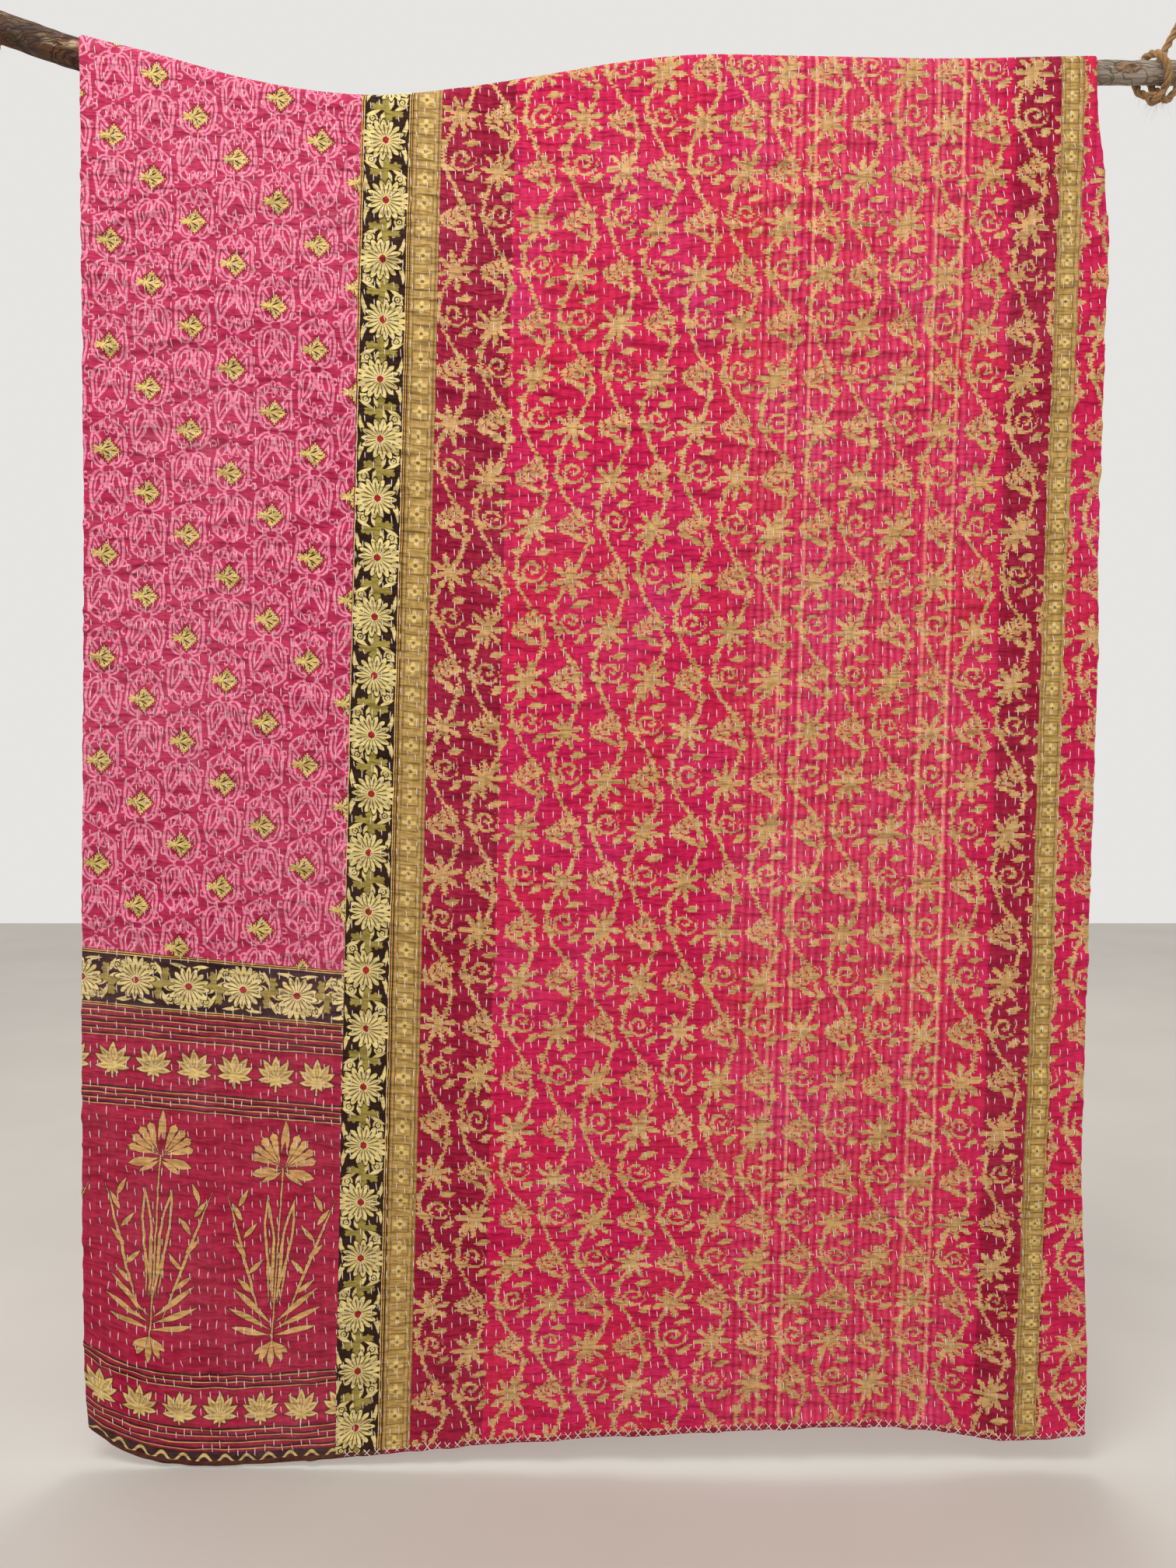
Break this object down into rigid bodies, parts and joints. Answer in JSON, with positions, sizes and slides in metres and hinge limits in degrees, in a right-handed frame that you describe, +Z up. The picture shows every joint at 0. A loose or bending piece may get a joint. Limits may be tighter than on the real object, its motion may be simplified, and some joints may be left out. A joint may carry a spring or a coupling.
{
  "type": "quilt on a hanging branch rack",
  "caption": "Hand-stitched patchwork quilt draped over a natural branch pole that hangs on two ropes from two ceiling screw hooks.",
  "frame": {"origin": "midway between the two hook screws, on the plane of the ceiling", "axes": "+Z up into the ceiling, +X along the pole to the viewer's right, -Y towards the quilt's long front face"},
  "size_m": [2.076, 0.0781, 2.4775],
  "materials": {
    "plated_steel": "zinc plated, slightly dull",
    "weathered_wood": "bare grey wood with bark left on one end",
    "jute": "coarse hairy twisted fibre",
    "paisley_cotton": "soft printed sari cotton with gold motifs",
    "vine_jacquard": "woven crimson and gold sari cloth",
    "inner_cotton": "plain worn cotton",
    "backing_cotton": "plain dyed cotton, stitched through",
    "hem_cotton": "turned edge with white cross stitches"
  },
  "bodies": {
    "hooks": {"left_hook": "plated_steel", "right_hook": "plated_steel"},
    "pole_and_ropes": {"branch_pole": "weathered_wood", "left_rope": "jute", "right_rope": "jute", "left_knot": "jute", "right_knot": "jute"},
    "quilt_saddle": {"paisley_cloth_saddle": "paisley_cotton", "vine_cloth_saddle": "vine_jacquard", "edge_strip_saddle": "vine_jacquard", "inner_layer_saddle": "inner_cotton", "backing_saddle": "backing_cotton"},
    "front_drop": {"paisley_cloth_front": "paisley_cotton", "vine_cloth_front": "vine_jacquard", "edge_strip_front": "vine_jacquard", "inner_layer_front": "inner_cotton", "backing_front": "backing_cotton", "hem_front": "hem_cotton"},
    "back_drop": {"paisley_cloth_back": "paisley_cotton", "vine_cloth_back": "vine_jacquard", "edge_strip_back": "vine_jacquard", "inner_layer_back": "inner_cotton", "backing_back": "backing_cotton", "hem_back": "hem_cotton"}
  },
  "joints": [
    {"name": "rack_swing", "type": "hinge", "parent": "hooks", "child": "pole_and_ropes", "pos_m": [0, 0, -0.05306], "axis": [1, 0, 0], "range_deg": [-8, 8]},
    {"name": "quilt_lift_off", "type": "slide", "parent": "pole_and_ropes", "child": "quilt_saddle", "axis": [0, 0, 1], "range_m": [0, 0.25]},
    {"name": "front_drop_lift", "type": "hinge", "parent": "quilt_saddle", "child": "front_drop", "pos_m": [0, -0.02454, -0.431], "axis": [-1, -0.0039, 0], "range_deg": [0, 80]},
    {"name": "back_drop_lift", "type": "hinge", "parent": "quilt_saddle", "child": "back_drop", "pos_m": [0, 0.02454, -0.431], "axis": [1, -0.0039, 0], "range_deg": [0, 80]}
  ]
}
